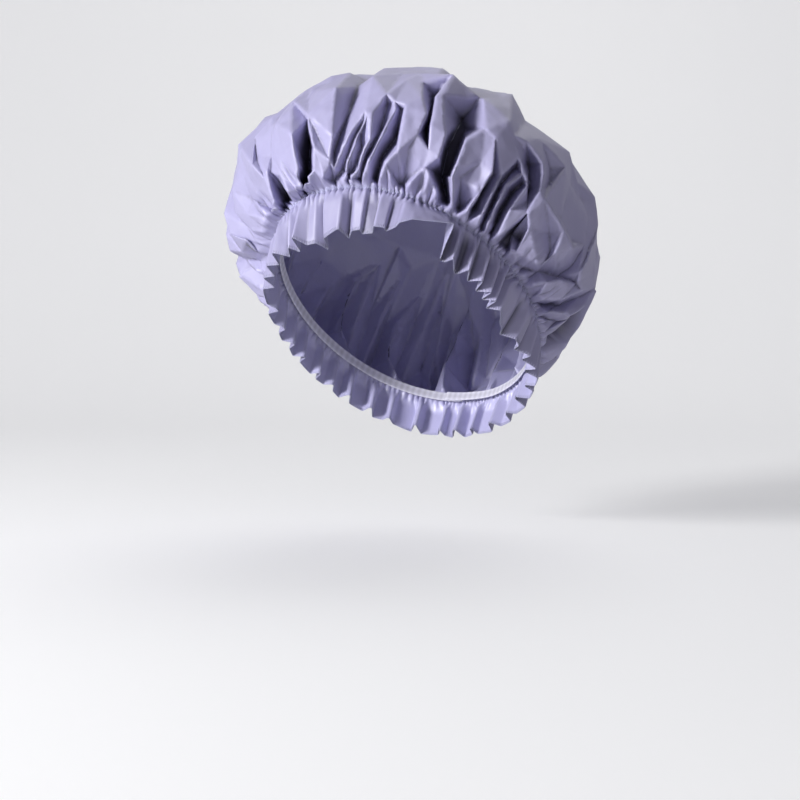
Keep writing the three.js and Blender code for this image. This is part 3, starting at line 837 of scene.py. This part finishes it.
class Paint:
    """One procedural material and the nodes that are added to it."""

    def __init__(self, name):
        self.material = bpy.data.materials.new(name)
        self.material.use_nodes = True
        self.tree = self.material.node_tree
        self.surface = self.tree.nodes["Principled BSDF"]

    def node(self, kind, settings=None, values=None, output=0):
        """Adds a node, first its settings, then the numbers or links of its sockets."""
        node = self.tree.nodes.new(kind)
        for key, value in (settings or {}).items():
            setattr(node, key, value)
        for key, value in (values or {}).items():
            self.fill(node.inputs[key], value)
        return Quantity(self, node.outputs[output])

    def fill(self, socket, value):
        if isinstance(value, Quantity):
            self.tree.links.new(value.socket, socket)
        else:
            socket.default_value = value

    def cut_place(self):
        """The place on the cut sheet or strip, in metres."""
        return self.node("ShaderNodeAttribute", {"attribute_name": "cut_place"}, output="Vector")

    def level(self, name):
        """A number kept on each point of the piece."""
        return self.node("ShaderNodeAttribute", {"attribute_name": name}, output="Fac")

    def object_place(self):
        """The place on the piece itself, in metres."""
        return self.node("ShaderNodeTexCoord", output="Object")

    def stretched(self, vector, scale):
        """A vector scaled by its own factor on each axis."""
        return self.node("ShaderNodeVectorMath", {"operation": "MULTIPLY"}, {0: vector, 1: scale})

    def cloud(self, vector, size, detail=2.0, roughness=0.5):
        """Soft noise from 0 to 1 with features of a size in metres."""
        return self.node("ShaderNodeTexNoise", values={
            "Vector": vector, "Scale": 1 / size, "Detail": detail, "Roughness": roughness}, output="Fac")

    def wandering(self, vector, size, amount):
        """A vector moved a little by noise, so that a pattern on it isn't straight."""
        noise = self.node("ShaderNodeTexNoise", values={"Vector": vector, "Scale": 1 / size}, output="Color")
        centred = self.node("ShaderNodeVectorMath", {"operation": "SUBTRACT"}, {0: noise, 1: (0.5, 0.5, 0.5)})
        moved = self.stretched(centred, (amount, amount, amount))
        return self.node("ShaderNodeVectorMath", {"operation": "ADD"}, {0: vector, 1: moved})

    def bands(self, direction, vector, pitch):
        """Bands across an axis, as soft waves of a pitch in metres. The node draws 20 to a unit of scale."""
        return self.node("ShaderNodeTexWave",
                         {"wave_type": "BANDS", "bands_direction": direction, "wave_profile": "SIN"},
                         {"Vector": vector, "Scale": 1 / pitch / 20}, output="Fac")

    def mixed(self, share, first, second):
        """A colour between two colours."""
        node = self.tree.nodes.new("ShaderNodeMix")
        node.data_type = "RGBA"
        self.fill(node.inputs["Factor"], share)
        for socket, value in ((node.inputs[6], first), (node.inputs[7], second)):
            self.fill(socket, value if isinstance(value, Quantity) else (*value, 1))
        return Quantity(self, node.outputs[2])

    def raised(self, height, depth, before=None):
        """A normal bent by a height map whose 1 is depth metres high."""
        values = {"Height": height, "Distance": depth, "Strength": 1.0}
        if before is not None:
            values["Normal"] = before
        return self.node("ShaderNodeBump", values=values)

    def finish(self, **values):
        """Sets the surface's sockets, whose names are given with _ for a space."""
        for key, value in values.items():
            socket = self.surface.inputs[key.replace("_", " ")]
            self.fill(socket, (*value, 1) if isinstance(value, tuple) and len(value) == 3 else value)
        return self.material


def shade(colour, factor):
    """A colour made lighter or darker."""
    return tuple(min(1.0, channel * factor) for channel in colour)


def vinyl_material(colour):
    """Thin matt vinyl film: crinkled, finely embossed, with painted highlights on sharp ridges and painted shade
    in valleys and deep folds.
    """
    paint = Paint("crinkled_vinyl")
    cut = paint.cut_place()
    crease = paint.level("crease")
    # Painted highlight on sharp ridges and painted shade in valleys, from how sharply the sheet bends
    ridge_highlight_gain, ridge_highlight_start = 0.0030, 0.12
    valley_shade_gain, valley_shade_start = -0.0040, 0.10
    ridge = (crease * ridge_highlight_gain - ridge_highlight_start).held()
    valley = (crease * valley_shade_gain - valley_shade_start).held()
    handling_size, emboss_size, tone_size = 0.014, 0.0006, 0.08
    handling_height, emboss_height = 0.0009, 0.00006
    soft = paint.cloud(cut, handling_size, detail=1)
    grain = paint.cloud(cut, emboss_size, detail=3)
    tone = paint.cloud(cut, tone_size, detail=3)
    base = paint.mixed(tone, shade(colour, 0.95), shade(colour, 1.05))
    # Painted highlights on ridges, painted shade in valleys and in deep folds: where the colour changes, by what
    # share at most, and how light it is there
    for where, share, lightness in ((ridge, 0.6, 1.30), (valley, 0.7, 0.50), (paint.level("painted_shade"), 0.85, 0.16)):
        base = paint.mixed(where * share, base, shade(colour, lightness))
    rough = (0.40 + 0.10 * grain - 0.08 * ridge + 0.06 * tone).held()
    normal = paint.raised(soft, handling_height)
    normal = paint.raised(grain, emboss_height, normal)
    return paint.finish(Base_Color=base, Roughness=rough, Normal=normal, Specular_IOR_Level=0.45,
                        Coat_Weight=0.08, Coat_Roughness=0.35)


def satin_material(colour):
    """Polyester satin: long warp floats that shine one way, with painted shade in its creased hollows."""
    paint = Paint("lining_satin")
    cut = paint.cut_place()
    warp_size, float_size, slub_size = 0.0003, 0.0009, 0.004
    weave_height, slub_height = 0.00005, 0.00008
    warp = paint.cloud(paint.stretched(cut, (1.0, 0.06, 1.0)), warp_size, detail=1)
    float_ends = paint.cloud(paint.stretched(cut, (1.0, 0.5, 1.0)), float_size, detail=1)
    slub = paint.cloud(paint.stretched(cut, (1.0, 0.04, 1.0)), slub_size, detail=2)
    crease = paint.level("crease")
    # Painted shade in the lining's creases: the colour darkens where the sheet bends into a hollow
    crease_shade_gain, crease_shade_start = 0.0036, 0.15
    painted_crease_shade = (crease * crease_shade_gain - crease_shade_start).held()
    base = paint.mixed(warp, shade(colour, 0.92), shade(colour, 1.06))
    base = paint.mixed(painted_crease_shade * 0.4, base, shade(colour, 0.75))
    rough = (0.26 + 0.12 * float_ends + 0.06 * slub).held()
    normal = paint.raised(warp * 0.7 + float_ends * 0.3, weave_height)
    normal = paint.raised(slub, slub_height, normal)
    return paint.finish(Base_Color=base, Roughness=rough, Normal=normal, Anisotropic=0.45,
                        Sheen_Weight=0.25, Sheen_Roughness=0.4, Specular_IOR_Level=0.6)


def elastic_material(colour):
    """Knitted elastic: lengthwise ribs over rubber, crossed by fine yarn loops."""
    paint = Paint("knitted_elastic")
    cut = paint.cut_place()
    loop_pitch, rib_pitch, fuzz_size = 0.0007, 0.0009, 0.0004
    knit_height, fuzz_height = 0.00016, 0.00006
    loops = paint.bands("X", paint.wandering(cut, 0.002, 0.0003), loop_pitch)
    ribs = paint.bands("Y", cut, rib_pitch)
    fuzz = paint.cloud(cut, fuzz_size, detail=3)
    knit = (loops * 0.5 + ribs * 0.5) * fuzz.scaled(0.7, 1.2)
    base = paint.mixed(knit, shade(colour, 0.74), shade(colour, 1.08))
    normal = paint.raised(loops * 0.5 + ribs, knit_height)
    normal = paint.raised(fuzz, fuzz_height, normal)
    return paint.finish(Base_Color=base, Roughness=(0.72 + 0.2 * fuzz).held(), Normal=normal, Sheen_Weight=0.3,
                        Sheen_Roughness=0.5)


def thread_material(colour):
    """Spun polyester thread: slightly uneven, slightly bright."""
    paint = Paint("sewing_thread")
    place = paint.object_place()
    strand = paint.cloud(place, 0.00022, detail=2)
    uneven = paint.cloud(place, 0.006)
    base = paint.mixed(strand, shade(colour, 0.78), shade(colour, 1.10))
    base = paint.mixed(uneven * 0.3, base, shade(colour, 0.9))
    return paint.finish(Base_Color=base, Roughness=(0.46 + 0.16 * strand).held(),
                        Normal=paint.raised(strand, 0.00008), Sheen_Weight=0.2)


def studio_material():
    """Pale paper for the floor and the backdrop, with a trace of its fibre."""
    paint = Paint("studio_paper")
    place = paint.object_place()
    fibre = paint.cloud(place, 0.004, detail=4)
    broad = paint.cloud(place, 0.6)
    base = paint.mixed(broad, (0.70, 0.70, 0.70), (0.74, 0.74, 0.74))
    seen = paint.node("ShaderNodeLightPath", output="Is Camera Ray")
    glow = paint.mixed(seen, (0, 0, 0), (0.26, 0.26, 0.27))
    return paint.finish(Base_Color=base, Roughness=0.9, Normal=paint.raised(fibre, 0.00005),
                        Emission_Color=glow, Emission_Strength=1.0)


def sewn(piece, node):
    """The piece stands in for its CAD node, which is hidden, and rides with the cap."""
    if node:
        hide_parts(node)
    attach(piece, "root")


class SHOWERCAP_OT_gather_sheets(bpy.types.Operator):
    """Gathers the vinyl and the satin round together, with their folds"""

    bl_idname = "showercap.gather_sheets"
    bl_label = "Gather the sheets"

    def execute(self, context):
        cap, finish = context.scene.cap_shape, context.scene.cap_finish
        flat, faces, places, painted_shade = gathered_film(cap, context.scene.film_handling)
        normals = point_normals(places, faces)
        creases = crease_measure(places, faces, normals)
        half_gap, seam_width = 0.00025, 0.0015
        apart = half_gap * eased(0, seam_width, cap.cut_radius - lengths(flat))[:, None]
        vinyl = sheet_object("vinyl_sheet", flat, faces, places + normals * apart, creases, painted_shade,
                             vinyl_material(tuple(finish.vinyl)))
        satin = sheet_object("satin_sheet", flat, faces[:, ::-1], places - normals * apart, -creases, painted_shade,
                             satin_material(tuple(finish.satin)))
        sewn(vinyl, "outer_shell")
        sewn(satin, "satin_lining")
        return {"FINISHED"}


class SHOWERCAP_OT_elastic(bpy.types.Operator):
    """Makes the elastic: one strip round the opening, lapped on itself at the back"""

    bl_idname = "showercap.elastic"
    bl_label = "Lay in the elastic"

    def execute(self, context):
        cap = context.scene.cap_shape
        stations, lap, inset, lap_step = 168, 0.014, 0.0034, 0.0012
        corner_power, rib_count, rib_height = 0.35, 5, 0.10
        mean_radius = (cap.opening_half_width + cap.opening_half_depth) / 2
        lap_angle = lap / mean_radius
        mesh = bmesh.new()
        section = bmesh.ops.create_circle(mesh, segments=20, radius=1.0)["verts"]
        for vertex in section:
            x, y = vertex.co.x, vertex.co.y
            vertex.co = Vector((1.0, math.copysign(abs(x) ** corner_power, x),
                                math.copysign(abs(y) ** corner_power, y)))
        step_mark = 10.0
        bmesh.ops.spin(mesh, geom=list(mesh.verts) + list(mesh.edges), cent=(0, 0, 0), axis=(0, 0, 1),
                       dvec=(0, 0, step_mark), angle=0.0, steps=stations, use_merge=False, use_duplicate=False)
        tag = mesh.verts.layers.float_vector.new("cut_place")
        lean_y, lean_z = math.cos(cap.wearing_tilt), math.sin(cap.wearing_tilt)
        for vertex in mesh.verts:
            station = round(vertex.co.z / step_mark)
            height = (vertex.co.z - station * step_mark) * cap.elastic_width / 2
            share = station / stations
            angle = math.pi - lap_angle / 2 + (TURN + lap_angle) * share
            lapped = float(eased(TURN - 2 * lap_angle, TURN - lap_angle / 4, (TURN + lap_angle) * share))
            rib = 1 + rib_height * math.cos(rib_count * math.pi * height / cap.elastic_width)
            depth = inset + cap.elastic_thickness / 2 * (1 - vertex.co.y * rib) + lap_step * lapped
            vertex[tag] = (share * (TURN * mean_radius + lap), height, vertex.co.y * 0.001)
            side, front = math.sin(angle), math.cos(angle)
            spot = Vector(((cap.opening_half_width - depth) * side,
                           -(cap.opening_half_depth - depth) * front, height))
            vertex.co = Vector((spot.x, spot.y * lean_y + spot.z * lean_z, -spot.y * lean_z + spot.z * lean_y))
        open_edges = [edge for edge in mesh.edges if edge.is_boundary]
        bmesh.ops.holes_fill(mesh, edges=open_edges, sides=0)
        bmesh.ops.recalc_face_normals(mesh, faces=mesh.faces)
        for face in mesh.faces:
            face.smooth = len(face.verts) == 4
        result = bpy.data.meshes.new("elastic_strip")
        mesh.to_mesh(result)
        mesh.free()
        strip = new_object("elastic_strip", result, elastic_material(tuple(context.scene.cap_finish.elastic)))
        sewn(strip, "elastic_band")
        return {"FINISHED"}


class SHOWERCAP_OT_stitching(bpy.types.Operator):
    """Sews the elastic in with a zigzag, and overedges the ruffle"""

    bl_idname = "showercap.stitching"
    bl_label = "Sew the threads"

    def execute(self, context):
        cap = context.scene.cap_shape
        thread = thread_material(tuple(context.scene.cap_finish.thread))
        vinyl, satin = bpy.data.objects["vinyl_sheet"], bpy.data.objects["satin_sheet"]
        half_zigzag, zigzags = 0.0016, 4 * cap.pucker_count
        seated, edge_thinner = 0.45, 0.8
        lift = cap.thread_width * seated
        for name, sheet, phase in (("needle_thread", vinyl, 0.0), ("bobbin_thread", satin, 0.25)):
            lines = [SeamLine(sheet, cap.gather_radius + side * half_zigzag) for side in (-1, 1)]
            middle = SeamLine(sheet, cap.gather_radius)
            path = []
            for k in range(zigzags):
                start = (k + phase) / zigzags
                for part, line in enumerate((lines[0], middle, lines[1], middle)):
                    path.append(line.at(start + part / 4 / zigzags, lift))
            sewn(thread_object(name, path, cap.thread_width, thread), None)
        stitch_depth, stitches = 0.0016, 640
        outer, inner = (SeamLine(sheet, cap.cut_radius - stitch_depth) for sheet in (vinyl, satin))
        edge = SeamLine(vinyl, cap.cut_radius)
        path = []
        for k in range(stitches):
            start = k / stitches
            over = [edge.at(start + part / stitches, 0) for part in (0.25, 0.75)]
            beyond = [spot + (spot - outer.at(start + part / stitches, 0)).normalized() * lift
                      for spot, part in zip(over, (0.25, 0.75))]
            path += [outer.at(start, lift), beyond[0], inner.at(start + 0.5 / stitches, lift), beyond[1]]
        sewn(thread_object("edge_thread", path, cap.thread_width * edge_thinner, thread), None)
        return {"FINISHED"}


class SHOWERCAP_OT_studio(bpy.types.Operator):
    """Sets up the floor, the backdrop, the lamps and the camera"""

    bl_idname = "showercap.studio"
    bl_label = "Set up the studio"

    def execute(self, context):
        studio = context.scene.studio_setup
        mesh = bmesh.new()
        bmesh.ops.create_grid(mesh, x_segments=2, y_segments=60, size=3.0)
        floor_height, bend_start, bend_radius = -0.150, 0.9, 0.8
        for vertex in mesh.verts:
            past = vertex.co.y - bend_start
            turned = min(max(past / bend_radius, 0), math.pi / 2)
            rest = max(0.0, past - bend_radius * math.pi / 2)
            if past > 0:
                vertex.co.y = bend_start + bend_radius * math.sin(turned)
                vertex.co.z = bend_radius * (1 - math.cos(turned)) + rest
            vertex.co.z += floor_height
        for face in mesh.faces:
            face.smooth = True
        paper = bpy.data.meshes.new("studio_paper")
        mesh.to_mesh(paper)
        mesh.free()
        paper.transform(Matrix.Rotation(studio.azimuth, 4, "Z"))
        new_object("studio_paper", paper, studio_material())

        back = Vector((math.sin(studio.azimuth) * math.cos(studio.elevation),
                       -math.cos(studio.azimuth) * math.cos(studio.elevation), math.sin(studio.elevation)))
        camera = bpy.data.cameras.new("photo_camera")
        camera.lens, camera.sensor_width = 85, 36
        viewer = linked("photo_camera", camera)
        viewer.location = back * studio.distance
        frame_width, pixels_right, pixels_up = 800, 7, 100
        pixels_per_radian = frame_width * camera.lens / camera.sensor_width
        right_of_middle, above_middle = pixels_right / pixels_per_radian, pixels_up / pixels_per_radian
        level = back.to_track_quat("Z", "Y")
        aim = Quaternion((1, 0, 0), -math.atan(above_middle)) @ Quaternion((0, 1, 0), math.atan(right_of_middle))
        viewer.rotation_mode = "QUATERNION"
        viewer.rotation_quaternion = level @ aim
        context.scene.camera = viewer

        turned = Matrix.Rotation(studio.azimuth, 3, "Z")
        for name, place, size, power in (
                ("key_lamp", (-1.42, -0.98, 0.58), 0.50, studio.key_power),
                ("fill_lamp", (0.9, -1.5, 0.2), 1.4, studio.fill_power),
                ("back_lamp", (0.5, 1.0, 1.45), 1.6, studio.back_power)):
            lamp = bpy.data.lights.new(name, "AREA")
            lamp.size, lamp.energy = size, power
            holder = linked(name, lamp)
            holder.location = turned @ Vector(place)
            holder.rotation_euler = holder.location.to_track_quat("Z", "Y").to_euler()
        world = bpy.data.worlds.new("room")
        world.use_nodes = True
        nodes, links = world.node_tree.nodes, world.node_tree.links
        room_colour, seen_colour = (0.86, 0.86, 1.0, 1), (0.80, 0.80, 0.81, 1)
        room = nodes["Background"]
        seen = nodes.new("ShaderNodeBackground")
        ray = nodes.new("ShaderNodeLightPath")
        room.inputs["Color"].default_value = room_colour
        room.inputs["Strength"].default_value = studio.room_light
        seen.inputs["Color"].default_value = seen_colour
        either = nodes.new("ShaderNodeMixShader")
        links.new(ray.outputs["Is Camera Ray"], either.inputs["Fac"])
        links.new(room.outputs["Background"], either.inputs[1])
        links.new(seen.outputs["Background"], either.inputs[2])
        links.new(either.outputs["Shader"], nodes["World Output"].inputs["Surface"])
        context.scene.world = world
        context.scene.view_settings.view_transform = "Standard"
        return {"FINISHED"}


class SHOWERCAP_PT_sidebar(bpy.types.Panel):
    """Lists the steps that make the cap, and its sizes"""

    bl_idname = "SHOWERCAP_PT_sidebar"
    bl_label = "Shower cap"
    bl_space_type = "VIEW_3D"
    bl_region_type = "UI"
    bl_category = "Shower cap"

    def draw(self, context):
        for operator in OPERATORS:
            self.layout.operator(operator.bl_idname)
        for name, group in GROUPS.items():
            box = self.layout.box()
            box.label(text=group.__doc__)
            for key in group.__annotations__:
                box.prop(getattr(context.scene, name), key)


OPERATORS = (SHOWERCAP_OT_gather_sheets, SHOWERCAP_OT_elastic, SHOWERCAP_OT_stitching, SHOWERCAP_OT_studio)
GROUPS = {"cap_shape": CapShape, "film_handling": FilmHandling, "cap_finish": CapFinish,
          "studio_setup": StudioSetup}


def register():
    for cls in (*GROUPS.values(), *OPERATORS, SHOWERCAP_PT_sidebar):
        bpy.utils.register_class(cls)
    for name, group in GROUPS.items():
        setattr(bpy.types.Scene, name, bpy.props.PointerProperty(type=group))


def unregister():
    for name in GROUPS:
        delattr(bpy.types.Scene, name)
    for cls in reversed((*GROUPS.values(), *OPERATORS, SHOWERCAP_PT_sidebar)):
        bpy.utils.unregister_class(cls)


def main():
    register()
    bpy.ops.showercap.gather_sheets()
    bpy.ops.showercap.elastic()
    bpy.ops.showercap.stitching()
    bpy.ops.showercap.studio()


if __name__ == "__main__":
    main()
